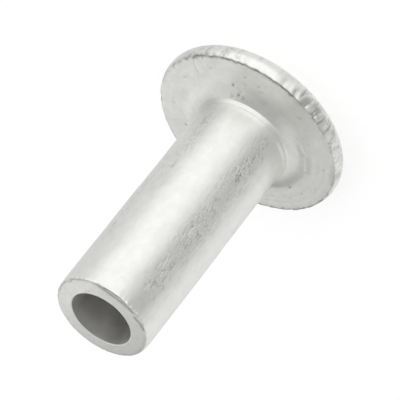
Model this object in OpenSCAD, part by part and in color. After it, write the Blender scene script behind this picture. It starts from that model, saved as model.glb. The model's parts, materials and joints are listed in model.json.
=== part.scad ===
// Hollow rivet: a cold-formed aluminium rivet with a flat head and a blind bore in its tail.
// It stands on its head: the origin is the centre of the head's top face, and +Z runs along the
// axis towards the tail. Every dimension is in millimetres.

/* [Shank] */
// Outside diameter of the shank
shank_d = 6; // [5:0.1:8]
// Length of the shank, from the underside of the head to the tail end
shank_len = 16; // [12:0.5:40]
// Rounding of the outer edge of the tail end
tail_edge_r = 0.25; // [0.05:0.05:0.5]

/* [Head] */
// Widest diameter of the head, at the swell of its rim
head_d = 12.15; // [10:0.05:18]
// Thickness of the head, from its top face to its underside
head_t = 1.5; // [1:0.05:3]
// How far the rim swells past the crease where it meets the underside
rim_swell = 0.15; // [0.05:0.01:0.4]
// Height of the neck cone, between the shank and the underside of the head
neck_len = 0.6; // [0.1:0.05:1.2]
// How far the neck cone flares out past the shank
neck_flare = 0.6; // [0.1:0.05:1.2]

/* [Bore] */
// Diameter of the bore
bore_d = 3.9; // [2:0.1:4.2]
// Length of the straight wall of the bore, from the tail end
bore_depth = 8.4; // [4:0.1:10]
// Angle across the cone at the bottom of the bore, in degrees
bore_tip_angle = 120; // [90:5:160]

/* [Hidden] */
$fn = 96;

aluminium = [0.80, 0.80, 0.78];

shank_r = shank_d / 2;
head_r = head_d / 2;
bore_r = bore_d / 2;
tail_z = head_t + shank_len;

// The rim is one arc: it leaves the top face smoothly, swells to the head's widest line, and meets
// the underside in a crease. This is the radius that makes it do all three.
rim_r = rim_swell + head_t - sqrt(2 * rim_swell * head_t);
rim_x = head_r - rim_r;

bore_wall_z = tail_z - bore_depth;
bore_tip_z = bore_wall_z - bore_r / tan(bore_tip_angle / 2);
// How far the cutting shape of the bore runs out past the tail end
bore_runout = 1;

// Half section of the head: a flat disc with the rounded rim around it.
module head_section() {
    square([rim_x, head_t]);
    intersection() {
        translate([rim_x, rim_r])
            circle(rim_r);
        translate([rim_x, 0])
            square([2 * rim_r, head_t]);
    }
}

// Half section of the shank, with the rounded outer edge of its tail end.
module shank_section() {
    square([shank_r, tail_z - tail_edge_r]);
    square([shank_r - tail_edge_r, tail_z]);
    translate([shank_r - tail_edge_r, tail_z - tail_edge_r])
        intersection() {
            circle(tail_edge_r);
            square(2 * tail_edge_r);
        }
}

// Half section of the neck cone where the shank runs into the head.
module neck_section() {
    polygon([
        [shank_r, head_t],
        [shank_r + neck_flare, head_t],
        [shank_r, head_t + neck_len]
    ]);
}

// Half section of the blind bore: a straight wall that ends in a cone.
module bore_section() {
    polygon([
        [0, bore_tip_z],
        [bore_r, bore_wall_z],
        [bore_r, tail_z + bore_runout],
        [0, tail_z + bore_runout]
    ]);
}

module hollow_rivet() {
    color(aluminium)
        rotate_extrude()
            difference() {
                union() {
                    head_section();
                    shank_section();
                    neck_section();
                }
                bore_section();
            }
}

hollow_rivet();
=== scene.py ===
import json
from math import asin, cos, hypot, pi, radians, sin, sqrt, tan

import bpy
import numpy as np
from mathutils import Matrix, Vector


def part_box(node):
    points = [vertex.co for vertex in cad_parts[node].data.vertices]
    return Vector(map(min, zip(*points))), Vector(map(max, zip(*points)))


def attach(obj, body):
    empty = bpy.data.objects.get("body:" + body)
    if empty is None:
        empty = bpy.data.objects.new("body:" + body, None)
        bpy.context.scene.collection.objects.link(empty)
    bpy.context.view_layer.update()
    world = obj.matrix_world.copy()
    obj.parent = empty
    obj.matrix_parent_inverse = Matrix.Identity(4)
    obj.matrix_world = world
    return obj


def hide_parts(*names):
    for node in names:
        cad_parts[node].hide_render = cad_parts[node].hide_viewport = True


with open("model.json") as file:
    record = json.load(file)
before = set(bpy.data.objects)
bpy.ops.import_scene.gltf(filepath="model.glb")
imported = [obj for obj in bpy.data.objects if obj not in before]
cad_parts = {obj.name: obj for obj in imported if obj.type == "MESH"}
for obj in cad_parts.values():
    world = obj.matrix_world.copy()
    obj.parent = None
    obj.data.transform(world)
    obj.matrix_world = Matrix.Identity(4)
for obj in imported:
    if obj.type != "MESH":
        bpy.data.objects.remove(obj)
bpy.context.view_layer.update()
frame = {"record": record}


# The rivet: one slug of soft aluminium wire, upset cold into a flat head at one end and pierced by a
# punch at the other, which leaves the blind bore. It was tumbled loose with others afterwards, so all of
# it is satin, with small knocks, drawing lines along the shank and upset lines around the rim.

# Its half section, in millimetres from the centre of the head's top face
mm = 0.001
mounts = {mount["name"]: mount for mount in frame["record"]["mounts"]}
head_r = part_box("hollow_rivet")[1].x / mm
tail_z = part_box("hollow_rivet")[1].z / mm
head_t = mounts["head_underside"]["pos_m"][2] / mm
shank_r = mounts["shank"]["dims"]["r_mm"]
bore_r = mounts["bore"]["dims"]["r_mm"]
bore_wall_z = tail_z - mounts["bore"]["dims"]["length_mm"]
bore_tip_angle = 120
bore_tip_z = bore_wall_z - bore_r / tan(radians(bore_tip_angle / 2))
neck_len = 0.6
neck_flare = 0.6
rim_swell = 0.15
rim_r = rim_swell + head_t - sqrt(2 * rim_swell * head_t)
rim_x = head_r - rim_r
underside_fall = 0.04
crease_z = head_t - underside_fall
crease_angle = asin((crease_z - rim_r) / rim_r)
crease = np.array([rim_x + rim_r * cos(crease_angle), crease_z])
neck_foot = np.array([shank_r + neck_flare, head_t + underside_fall])
neck_top = np.array([shank_r, head_t + neck_len])
tail_crown = 0.10
tail_corner = np.array([shank_r, tail_z - tail_crown])
mouth = np.array([bore_r, tail_z])
bore_foot = np.array([bore_r, bore_wall_z])
bore_tip = np.array([0, bore_tip_z])


def short_of(point, other, distance):
    """The place at a distance from a point of the outline, on the way to another."""
    return point + (other - point) * distance / hypot(*(other - point))


def straight(start, end, steps):
    """Points along a straight stretch of the outline, without its last one."""
    share = np.linspace(0, 1, steps, endpoint=False)[:, None]
    return (1 - share) * start + share * end


def rounded(centre, radius, first, last, steps):
    """Points along an arc of the outline, without its last one; an angle of 0 points straight out."""
    angle = np.linspace(first, last, steps, endpoint=False)
    return np.array(centre) + radius * np.column_stack([np.cos(angle), np.sin(angle)])


def softened(before, corner, after, steps):
    """Points of a corner of the outline that has lost its sharpness, without the last one."""
    share = np.linspace(0, 1, steps, endpoint=False)[:, None]
    first = (1 - share) * before + share * corner
    second = (1 - share) * corner + share * after
    return (1 - share) * first + share * second


# How far the softening of each corner reaches from it, and the first ring of the top face
crisp_reach = 0.06
foot_reach = 0.75
foot_climb = 0.66
neck_reach = 0.12
bead_reach = 0.52
edge_reach = 0.22
edge_depth = 0.10
top_ring_r = 0.4

rim_end = crease_angle - crisp_reach / rim_r
rim_last = np.array([rim_x + rim_r * cos(rim_end), rim_r + rim_r * sin(rim_end)])
crease_in = short_of(crease, neck_foot, crisp_reach)
foot_out = short_of(neck_foot, crease, foot_reach)
foot_in = short_of(neck_foot, neck_top, foot_climb)
neck_out = short_of(neck_top, neck_foot, neck_reach)
neck_in = short_of(neck_top, tail_corner, neck_reach)
bead_end = short_of(neck_top, tail_corner, bead_reach)
edge_out = short_of(tail_corner, neck_top, edge_reach)
edge_in = short_of(tail_corner, mouth, edge_depth)
mouth_out = short_of(mouth, tail_corner, crisp_reach)
mouth_in = short_of(mouth, bore_foot, crisp_reach)
outline = {
    "top": straight(np.array([top_ring_r, 0]), np.array([rim_x, 0]), 6),
    "rim": rounded((rim_x, rim_r), rim_r, -pi / 2, rim_end, 32),
    "crease": softened(rim_last, crease, crease_in, 6),
    "underside": straight(crease_in, foot_out, 28),
    "foot": softened(foot_out, neck_foot, foot_in, 16),
    "neck": straight(foot_in, neck_out, 1),
    "neck_corner": softened(neck_out, neck_top, neck_in, 7),
    "bead": straight(neck_in, bead_end, 8),
    "shank": straight(bead_end, edge_out, 36),
    "tail_edge": softened(edge_out, tail_corner, edge_in, 8),
    "tail": straight(edge_in, mouth_out, 16),
    "mouth": softened(mouth_out, mouth, mouth_in, 5),
    "bore": straight(mouth_in, bore_foot, 8),
    "bore_tip": straight(bore_foot, bore_tip, 4),
}
rings = np.concatenate(list(outline.values()))
zone = np.concatenate([[name] * len(points) for name, points in outline.items()])
run = np.concatenate([[0], np.cumsum(np.hypot(*np.diff(rings, axis=0).T))])
along = np.gradient(rings, run, axis=0)
along /= np.hypot(*along.T)[:, None]
outward = np.column_stack([along[:, 1], -along[:, 0]])

# The same outline all the way round, before any wear
turns = 544
turn = np.arange(turns) * 2 * pi / turns


def swept(ring_points):
    """Places in space of the outline's points (radius, height) at every turn."""
    radius, height = ring_points[..., 0], ring_points[..., 1]
    return np.stack([radius * np.cos(turn), radius * np.sin(turn), height + 0 * turn], axis=-1)


smooth = swept(np.repeat(rings[:, None], turns, axis=1))
raised = np.zeros(smooth.shape[:2])
# Darkening of each point towards the dark tone, for soiling and for painted shade along the crease
grime = np.zeros(smooth.shape[:2])
scuffed = np.zeros(smooth.shape[:2])
chance = np.random.default_rng(16)


def near(place, spread):
    """How close each ring of the outline is to a place along it, from 1 there to 0 far away."""
    return np.exp(-(((run[:, None] - place) / spread) ** 2))


def start_of(name):
    """Where a stretch of the outline starts, along it."""
    return run[np.argmax(zone == name)]


def facing(degrees):
    """How much each turn faces one side of the rivet, from 1 there to 0 a quarter of the way round."""
    return np.clip(np.cos(turn - radians(degrees)), 0, 1)


def uneven(slowest, fastest):
    """A closed uneven line round the rivet, with a spread of 1 about 0."""
    waves = np.arange(slowest, fastest + 1)[:, None]
    size = chance.normal(size=waves.shape)
    line = (size * np.cos(waves * turn + chance.uniform(0, 2 * pi, waves.shape))).sum(axis=0)
    return line / line.std()


def spot(radius, height, degrees):
    """A point on the rivet, by its distance from the axis, its height and its turn."""
    return np.array([radius * cos(radians(degrees)), radius * sin(radians(degrees)), height])


def press(path, width, depth, dirt_and_shade):
    """Presses a mark into the surface along a path of points, and darkens it with soiling, and with painted
    shade as well for the nicks in the crease.
    """
    heights = [point[2] for point in path]
    rows = (rings[:, 1] > min(heights) - 3 * width) & (rings[:, 1] < max(heights) + 3 * width)
    gap = np.full(smooth[rows].shape[:2], np.inf)
    for start, end in zip(path, path[1:]):
        line = end - start
        share = np.clip(((smooth[rows] - start) @ line) / max(line @ line, 1e-9), 0, 1)
        gap = np.minimum(gap, np.linalg.norm(smooth[rows] - start - share[..., None] * line, axis=-1))
    mark = np.exp(-((gap / width) ** 2))
    raised[rows] -= depth * mark
    grime[rows] = np.maximum(grime[rows], dirt_and_shade * mark)


# Rim: squeezed out between the dies, its edge creases into broad flats and splits into fine upright tears
on_rim = np.isin(zone, ["rim", "crease"])
rim_height = rings[on_rim, 1:] / head_t


def groove(degrees, width, depth, dirt_and_shade):
    """Presses an upright groove into the rim, each with its own lean, height and reach."""
    lean = chance.normal(0, 0.02)
    height = chance.uniform(0.4, 1.0)
    reach = chance.uniform(0.2, 0.6)
    gap = turn - radians(degrees) - lean * (rim_height - 0.5)
    gap = head_r * ((gap + pi) % (2 * pi) - pi)
    mark = np.exp(-((gap / width) ** 2) - ((rim_height - height) / reach) ** 2)
    raised[on_rim] -= depth * mark
    grime[on_rim] = np.maximum(grime[on_rim], dirt_and_shade * mark)


for _ in range(70):
    groove(chance.uniform(0, 360), chance.uniform(0.12, 0.35), chance.uniform(0.003, 0.014), 0)
for creased in [-89, 60, 175]:
    for _ in range(16):
        groove(creased + chance.normal(0, 7), chance.uniform(0.1, 0.25), chance.uniform(0.006, 0.020), 0.15)
for split, depth in [
    (-101, 0.02), (-107, 0.04), (-111.2, 0.05), (-112.6, 0.05), (-114, 0.05), (-119, 0.03), (-125, 0.03),
    (24, 0.05), (25.5, 0.03), (29.5, 0.05), (32, 0.02), (101, 0.03), (105, 0.05),
]:
    groove(split, 0.07, depth, 0.6)
for torn in [-45, -118, -140, 30, 130]:
    for _ in range(70):
        tilt = chance.uniform(-0.6, 0.5)
        tilt_end = np.clip(tilt + chance.normal(0, 0.2), -0.7, 0.55)
        degrees = torn + chance.normal(0, 11)
        degrees_end = degrees + chance.normal(0, 1)
        tear = [
            spot(rim_x + rim_r * cos(tilt), rim_r + rim_r * sin(tilt), degrees),
            spot(rim_x + rim_r * cos(tilt_end), rim_r + rim_r * sin(tilt_end), degrees_end)]
        press(tear, chance.uniform(0.05, 0.09), chance.uniform(0.004, 0.022), chance.uniform(0, 0.4))
for degrees in [-104, 72, 200]:
    flat = spot(rim_x + rim_r * cos(0.25), rim_r + rim_r * sin(0.25), degrees)
    press([flat, flat], 0.35, 0.03, 0.45)

# The crease between rim and underside is ragged, with a wandering dark line along it, front and back, that is
# painted shade in the crease as well as soiling
ragged = 0.007
raised += ragged * uneven(8, 60) * near(start_of("crease") + 0.03, 0.08)
crease_dirt_and_shade = 0.37 + 0.3 * np.cos(2 * (turn - radians(-56))) + 0.12 * uneven(5, 60)
grime += np.clip(crease_dirt_and_shade, 0, 1) * near(start_of("crease") + 0.08 + 0.03 * uneven(20, 90), 0.09)
# Nicks across the crease, which carry its painted shade and soiling
for _ in range(60):
    nick_at = chance.integers(turns)
    degrees = 360 * nick_at / turns
    reach = chance.uniform(0.03, 0.18)
    nick_start = spot(crease[0], crease_z, degrees)
    nick_end = spot(crease[0] - reach, crease_z, degrees + chance.normal(0, 1))
    press([nick_start, nick_end], chance.uniform(0.04, 0.07), 0.012, max(crease_dirt_and_shade[nick_at] - 0.15, 0))

# Underside of the head: faint rings from the die, pits, a scratch, a raised smear and small knocks
underside = np.isin(zone, ["underside", "foot"])
die_ring_height = 0.0012
die_ring_pitch = 0.42
raised[underside] += die_ring_height * np.sin(rings[underside, :1] * 2 * pi / die_ring_pitch)


def on_face(face, radius, degrees):
    """A point on a face that looks towards the tail, by its radius and its turn."""
    radii, heights = rings[face][::-1].T
    return spot(radius, np.interp(radius, radii, heights), degrees)


pit_width = 0.075
pit_depth = 0.045
for radius, degrees, strength in [
    (4.00, -54, 0.9), (3.48, -60, 0.9), (4.24, 159, 0.8), (4.42, 44, 0.6),
    (3.33, -53, 0.5), (3.41, -66, 0.5), (4.72, -76, 0.4), (4.93, -65, 0.4),
]:
    pit = on_face(underside, radius, degrees)
    press([pit, pit], pit_width, pit_depth * strength, strength)
scratch = [on_face(underside, radius, degrees) for radius, degrees in [(5.7, -27), (5.2, -24.5), (4.8, -24)]]
press(scratch, 0.05, 0.008, 0.2)
smear = [on_face(underside, radius, degrees) for radius, degrees in [(3.8, -138), (4.1, -152), (4.2, -168)]]
press(smear, 0.14, -0.035, 0)
for _ in range(26):
    knock = on_face(underside, chance.uniform(3.5, 5.4), chance.uniform(0, 360))
    knock_end = knock + chance.normal(0, 0.08, 3)
    press([knock, knock_end], chance.uniform(0.05, 0.1), 0.01, chance.uniform(0.05, 0.28))
for _ in range(16):
    rough = on_face(underside, chance.normal(3.8, 0.12), chance.normal(-137, 5))
    press([rough, rough + chance.normal(0, 0.06, 3)], 0.06, chance.normal(0, 0.012), 0.1)

# Neck: a low bead where the die's edge bit in, higher on one side, and the shank swollen a little under it
bead_width = 0.18
bead_height = 0.015 + 0.045 * facing(-145)
raised += bead_height * near(start_of("bead"), bead_width)
swell_len = 2.2
swell_height = 0.08 * facing(-65)
under_head = np.isin(zone, ["neck_corner", "bead", "shank"])[:, None]
raised += swell_height * under_head * np.clip(1 - (rings[:, 1:] - neck_top[1]) / swell_len, 0, 1) ** 2

# Shank: the punch swells its hollow end a little, and the tumbling dents it
on_shank = (zone == "shank")[:, None]
hollow_swell = 0.02
hollow_start = bore_wall_z - 0.2
hollow_rise = 0.25
raised += hollow_swell * on_shank * np.clip((rings[:, 1:] - hollow_start) / hollow_rise, 0, 1)
for _ in range(150):
    dent = spot(shank_r, chance.uniform(head_t + 1, tail_z), chance.uniform(0, 360))
    dent_end = dent + (0, 0, chance.normal(0, 0.5))
    press([dent, dent_end], chance.uniform(0.3, 0.7), chance.uniform(0.002, 0.010), 0)

# Strips along the shank that were rubbed, which fade out towards their ends
strip_fade = 2.0
for degrees, spread, lowest, highest, strength in [
    (-114, 12, 2.0, 17.0, 1.0), (-38, 9, 2.0, 10.5, 0.65), (-24, 9, 6.0, 15.0, 0.5),
    (35, 12, 6.0, 17.0, 0.7), (92, 14, 2.0, 12.0, 0.8), (150, 16, 6.0, 17.0, 0.7), (-168, 8, 3.0, 9.0, 0.5),
]:
    across = (turn - radians(degrees) + pi) % (2 * pi) - pi
    ends = np.clip(np.minimum(rings[:, 1:] - lowest, highest - rings[:, 1:]) / strip_fade, 0, 1)
    scuffed = np.maximum(scuffed, on_shank * strength * ends * np.exp(-((across / radians(spread)) ** 2)))

# Tail: sheared off, with a ragged edge that is worn round on one side and has a wandering dark line just
# inside it, darkest towards one side, and burrs folded over inwards
tail_face = zone == "tail"
tail_edge_middle = start_of("tail_edge") + 0.15
raised += 0.008 * uneven(6, 60) * near(tail_edge_middle, 0.12)
raised -= 0.05 * facing(160) * near(tail_edge_middle, 0.16)
# A wandering dark line just inside the edge, darkest towards one side
edge_darkening = 0.15 + 0.35 * np.cos(turn - radians(-45)) + 0.12 * uneven(3, 30)
grime += np.clip(edge_darkening, 0, 1) * near(start_of("tail") - 0.02 + 0.025 * uneven(4, 30), 0.05)
lip_out = 0.13
for fold in [
    [(2.86, -64), (2.71, -77), (2.70, -90), (2.76, -104), (2.81, -115)],
    [(2.70, -122), (2.80, -131), (2.88, -142)],
]:
    groove_line = [on_face(tail_face, radius, degrees) for radius, degrees in fold]
    lip = [on_face(tail_face, radius + lip_out, degrees) for radius, degrees in fold]
    press(lip, 0.08, -0.03, 0)
    press(groove_line, 0.07, 0.04, 0.7)
for _ in range(50):
    fleck = on_face(tail_face, chance.uniform(2.05, 2.95), chance.uniform(0, 360))
    press([fleck, fleck + chance.normal(0, 0.05, 3)], 0.05, chance.normal(0, 0.01), chance.uniform(0, 0.25))

# The mesh, with the outline unrolled as its map
worn = np.repeat(rings[:, None], turns, axis=1) + raised[..., None] * outward[:, None]
count = len(rings)
points = np.concatenate([swept(worn).reshape(-1, 3), [[0, 0, 0], [0, 0, bore_tip_z]]]) * mm
corner = np.arange(count * turns).reshape(count, turns)
beside = np.roll(corner, -1, axis=1)
walls = np.stack([corner[:-1], beside[:-1], beside[1:], corner[1:]], axis=-1).reshape(-1, 4)
top_centre, tip_centre = count * turns, count * turns + 1
fans = [(top_centre, b, a) for a, b in zip(corner[0], beside[0])]
fans += [(tip_centre, a, b) for a, b in zip(corner[-1], beside[-1])]

rivet_mesh = bpy.data.meshes.new("rivet")
rivet_mesh.from_pydata(points.tolist(), [], walls.tolist() + fans)
rivet_mesh.shade_smooth()
rivet = bpy.data.objects.new("rivet", rivet_mesh)
bpy.context.scene.collection.objects.link(rivet)
for name, amount in [("grime", grime), ("scuffed", scuffed)]:
    layer = rivet_mesh.attributes.new(name, "FLOAT", "POINT")
    layer.data.foreach_set("value", np.append(np.clip(amount, 0, 1).ravel(), [0, 0]))
wall_turn = np.tile(np.arange(turns)[:, None] + [0, 1, 1, 0], (count - 1, 1)) / turns
wall_run = np.repeat(np.column_stack([run[:-1], run[:-1], run[1:], run[1:]]), turns, axis=0) / run[-1]
fan_turn = (np.arange(turns)[:, None] + np.array([[0.5, 1, 0], [0.5, 0, 1]])[:, None]) / turns
fan_run = np.broadcast_to(np.array([[0, 0, 0], [1, 1, 1]])[:, None], fan_turn.shape)
unrolled = np.column_stack([
    np.append(wall_turn.ravel(), fan_turn.ravel()),
    np.append(wall_run.ravel(), fan_run.ravel())])
rivet_mesh.uv_layers.new(name="OFBake").uv.foreach_set("vector", unrolled.ravel().astype(np.float32))


def wire(tree, kind, settings, inputs):
    """Adds a shader node; each input is a plain value or the output of another node."""
    made = tree.nodes.new("ShaderNode" + kind)
    for name, value in settings.items():
        setattr(made, name, value)
    for name, value in inputs.items():
        if isinstance(value, bpy.types.NodeSocket):
            tree.links.new(value, made.inputs[name])
        else:
            made.inputs[name].default_value = value
    return made


def maths(tree, operation, *values):
    """The result of a Math node on plain values and outputs of other nodes."""
    return wire(tree, "Math", {"operation": operation}, dict(enumerate(values))).outputs[0]


def ranged(tree, value, low, high, least, most, blend="LINEAR"):
    """A value that runs from low to high, made to run from least to most."""
    return wire(tree, "MapRange", {"interpolation_type": blend}, {
        0: value, 1: low, 2: high, 3: least, 4: most}).outputs[0]


def drawn_out(tree, place, stretch, lean):
    """Places squeezed along the rivet's axis, so that a texture there is drawn out, and leaning across it."""
    height = wire(tree, "SeparateXYZ", {}, {0: place}).outputs["Z"]
    angle = maths(tree, "MULTIPLY", height, lean / (shank_r * mm))
    leaned = wire(tree, "VectorRotate", {"rotation_type": "Z_AXIS"}, {"Vector": place, "Angle": angle})
    return wire(tree, "Mapping", {}, {"Vector": leaned.outputs[0], "Scale": (1, 1, 1 / stretch)}).outputs[0]


def grain(tree, place, size, stretch, lean=0):
    """Grain of a size in mm, drawn out along the axis."""
    return wire(tree, "TexNoise", {}, {
        "Vector": drawn_out(tree, place, stretch, lean),
        "Scale": 1 / (size * mm),
        "Detail": 3.0,
        "Roughness": 0.55,
    }).outputs[0]


# The dark tone for soiling, and for painted shade along the crease
dirt_and_shade_tone = (0.22, 0.21, 0.19)


def aluminium(name, tone, roughness, grains, knocks):
    """Bare aluminium with grains (size, stretch, depth) all over, and knocks (size, stretch, lean, depth,
    soiling) where it was rubbed; all in mm, apart from the soiling."""
    finish = bpy.data.materials.new(name)
    finish.use_nodes = True
    tree = finish.node_tree
    metal = tree.nodes["Principled BSDF"]
    place = wire(tree, "TexCoord", {}, {}).outputs["Object"]
    stain = ranged(tree, grain(tree, place, 0.4, 1.5), 0.3, 0.7, 0.0, 0.09)
    # The darkening attribute brings soiling and the painted shade along the crease
    grime_and_shade_there = wire(tree, "Attribute", {"attribute_name": "grime"}, {}).outputs["Fac"]
    dirt_and_shade = maths(tree, "ADD", grime_and_shade_there, stain)
    normal = None
    for size, stretch, depth in grains:
        bump = wire(tree, "Bump", {}, {"Height": grain(tree, place, size, stretch), "Distance": depth * mm})
        if normal:
            tree.links.new(normal, bump.inputs["Normal"])
        normal = bump.outputs[0]
    if knocks:
        scuff = wire(tree, "Attribute", {"attribute_name": "scuffed"}, {}).outputs["Fac"]
        patches = ranged(tree, grain(tree, place, 0.9, 2), 0.35, 0.6, 0.35, 1.0)
        rubbed = maths(tree, "MULTIPLY", scuff, patches)
    for size, stretch, lean, depth, darkness in knocks:
        nick = ranged(tree, grain(tree, place, size, stretch, lean), 0.48, 0.66, 0.0, 1.0, "SMOOTHSTEP")
        hollow = maths(tree, "MULTIPLY", nick, rubbed)
        bump = wire(tree, "Bump", {"invert": True}, {
            "Height": hollow, "Distance": depth * mm, "Normal": normal})
        normal = bump.outputs[0]
        dirt_and_shade = maths(tree, "MULTIPLY_ADD", hollow, darkness, dirt_and_shade)
    colour = wire(tree, "Mix", {"data_type": "RGBA"}, {"Factor": dirt_and_shade, 6: (*tone, 1), 7: (*dirt_and_shade_tone, 1)})
    dull = ranged(tree, grain(tree, place, 0.9, 1), 0.3, 0.7, roughness - 0.05, roughness + 0.05)
    tree.links.new(colour.outputs[2], metal.inputs["Base Color"])
    tree.links.new(dull, metal.inputs["Roughness"])
    tree.links.new(normal, metal.inputs["Normal"])
    metal.inputs["Metallic"].default_value = 1.0
    return finish


bright = (0.90, 0.902, 0.875)
pale = (0.95, 0.945, 0.92)
finishes = {
    "satin": aluminium(
        "satin_aluminium", bright, 0.34, [(0.9, 1, 0.02), (0.3, 1, 0.006), (0.08, 1, 0.0015)], []),
    "drawn": aluminium(
        "drawn_aluminium", bright, 0.34, [(0.6, 3, 0.012), (0.12, 25, 0.004), (0.07, 1, 0.002)],
        [(0.40, 2.5, 0.1, 0.024, 0.10), (0.19, 2.8, 0.15, 0.024, 0.45), (0.09, 2.2, -0.2, 0.012, 0.40)]),
    "upset": aluminium(
        "upset_aluminium", bright, 0.32, [(0.2, 8, 0.010), (0.4, 1, 0.012), (0.07, 1, 0.002)], []),
    "sheared": aluminium("sheared_aluminium", bright, 0.36, [(0.3, 1, 0.02), (0.1, 1, 0.006)], []),
    "punched": aluminium("punched_aluminium", pale, 0.46, [(0.15, 5, 0.006)], []),
}
finish_of = {
    "neck_corner": "drawn", "bead": "drawn", "shank": "drawn", "rim": "upset", "crease": "upset",
    "tail_edge": "sheared", "tail": "sheared", "bore": "punched", "bore_tip": "punched",
}
for finish in finishes.values():
    rivet_mesh.materials.append(finish)
slot_of = {name: index for index, name in enumerate(finishes)}
ring_slot = [slot_of[finish_of.get(name, "satin")] for name in zone]
face_slot = np.repeat([*ring_slot[:-1], slot_of["satin"], slot_of["punched"]], turns)
rivet_mesh.polygons.foreach_set("material_index", face_slot.astype(np.int32))
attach(rivet, "root")
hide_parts("hollow_rivet")


# The floor: a sheet of white card with a little glow of its own, so that it shows as paper white around
# a soft shadow. The metal doesn't reflect it, but shows the soft light of the room all round.
floor_half = 0.5
card_tone = (0.9, 0.9, 0.9)
card_glow = 0.43
floor_mesh = bpy.data.meshes.new("floor")
floor_corners = [(x * floor_half, y * floor_half, 0) for x, y in [(-1, -1), (1, -1), (1, 1), (-1, 1)]]
floor_mesh.from_pydata(floor_corners, [], [(0, 1, 2, 3)])
floor = bpy.data.objects.new("floor", floor_mesh)
bpy.context.scene.collection.objects.link(floor)
card = bpy.data.materials.new("white_card")
card.use_nodes = True
paper = card.node_tree.nodes["Principled BSDF"]
paper.inputs["Base Color"].default_value = (*card_tone, 1)
paper.inputs["Roughness"].default_value = 1.0
paper.inputs["Emission Color"].default_value = (1, 1, 1, 1)
paper.inputs["Emission Strength"].default_value = card_glow
floor_mesh.materials.append(card)
floor.visible_glossy = False
floor.visible_shadow = False


# The light: a white room with soft lighter and darker patches. It is brightest in front and towards +X,
# darker overhead, on the other side and behind, with a few small bright patches between. The camera sees
# it as plain white.
room = bpy.data.worlds.new("room")
bpy.context.scene.world = room
room.use_nodes = True
air = room.node_tree
towards = wire(air, "TexCoord", {}, {}).outputs["Generated"]


def glow(level, azimuth, elevation, inner, outer, change):
    """The room's level with a patch that changes it in the middle and fades out between two angles from
    there. Azimuth 0 is -Y and 90 is +X."""
    around = radians(azimuth)
    up = radians(elevation)
    middle = (sin(around) * cos(up), -cos(around) * cos(up), sin(up))
    nearness = wire(air, "VectorMath", {"operation": "DOT_PRODUCT"}, {0: towards, 1: middle}).outputs["Value"]
    patch = ranged(air, nearness, cos(radians(outer)), cos(radians(inner)), 0.0, change, "SMOOTHSTEP")
    return maths(air, "ADD", level, patch)


level = 0.73
for patch in [
    (35, 0, 35, 55, 0.40), (-5, 30, 0, 25, 0.35), (-65, -20, 30, 50, -0.25), (15, 70, 20, 45, -0.30),
    (180, 30, 15, 40, -0.25), (-90, -15, 5, 35, 0.35), (165, 30, 0, 25, 0.45), (115, 5, 10, 30, -0.20),
    (-170, 10, 5, 25, -0.15), (0, -80, 15, 60, 0.10), (-80, 40, 10, 30, -0.10), (-130, -40, 10, 40, 0.10),
]:
    level = glow(level, *patch)
shown = wire(air, "Mix", {"data_type": "FLOAT"}, {
    0: wire(air, "LightPath", {}, {}).outputs["Is Camera Ray"], 2: level, 3: 1.0})
background = air.nodes["Background"]
air.links.new(shown.outputs[0], background.inputs["Strength"])
background.inputs["Color"].default_value = (1, 1, 1, 1)


# The camera: a long lens, looking down past the tail and rolled until the rivet's axis runs from its
# head at the upper right to its tail at the lower left.
camera = bpy.data.objects.new("camera", bpy.data.cameras.new("camera"))
bpy.context.scene.collection.objects.link(camera)
camera.data.lens = 308
camera.data.sensor_width = 36
camera.data.clip_start = 0.01
aim = Vector((-0.235, 0, 7.11)) * mm
distance = 197.6 * mm
elevation = 33.1
roll = -141.85
view_turn = Matrix.Rotation(radians(90 - elevation), 4, "X") @ Matrix.Rotation(radians(roll), 4, "Z")
camera.matrix_world = Matrix.Translation(aim) @ view_turn @ Matrix.Translation((0, 0, distance))
bpy.context.scene.camera = camera
bpy.context.scene.view_settings.view_transform = "Standard"
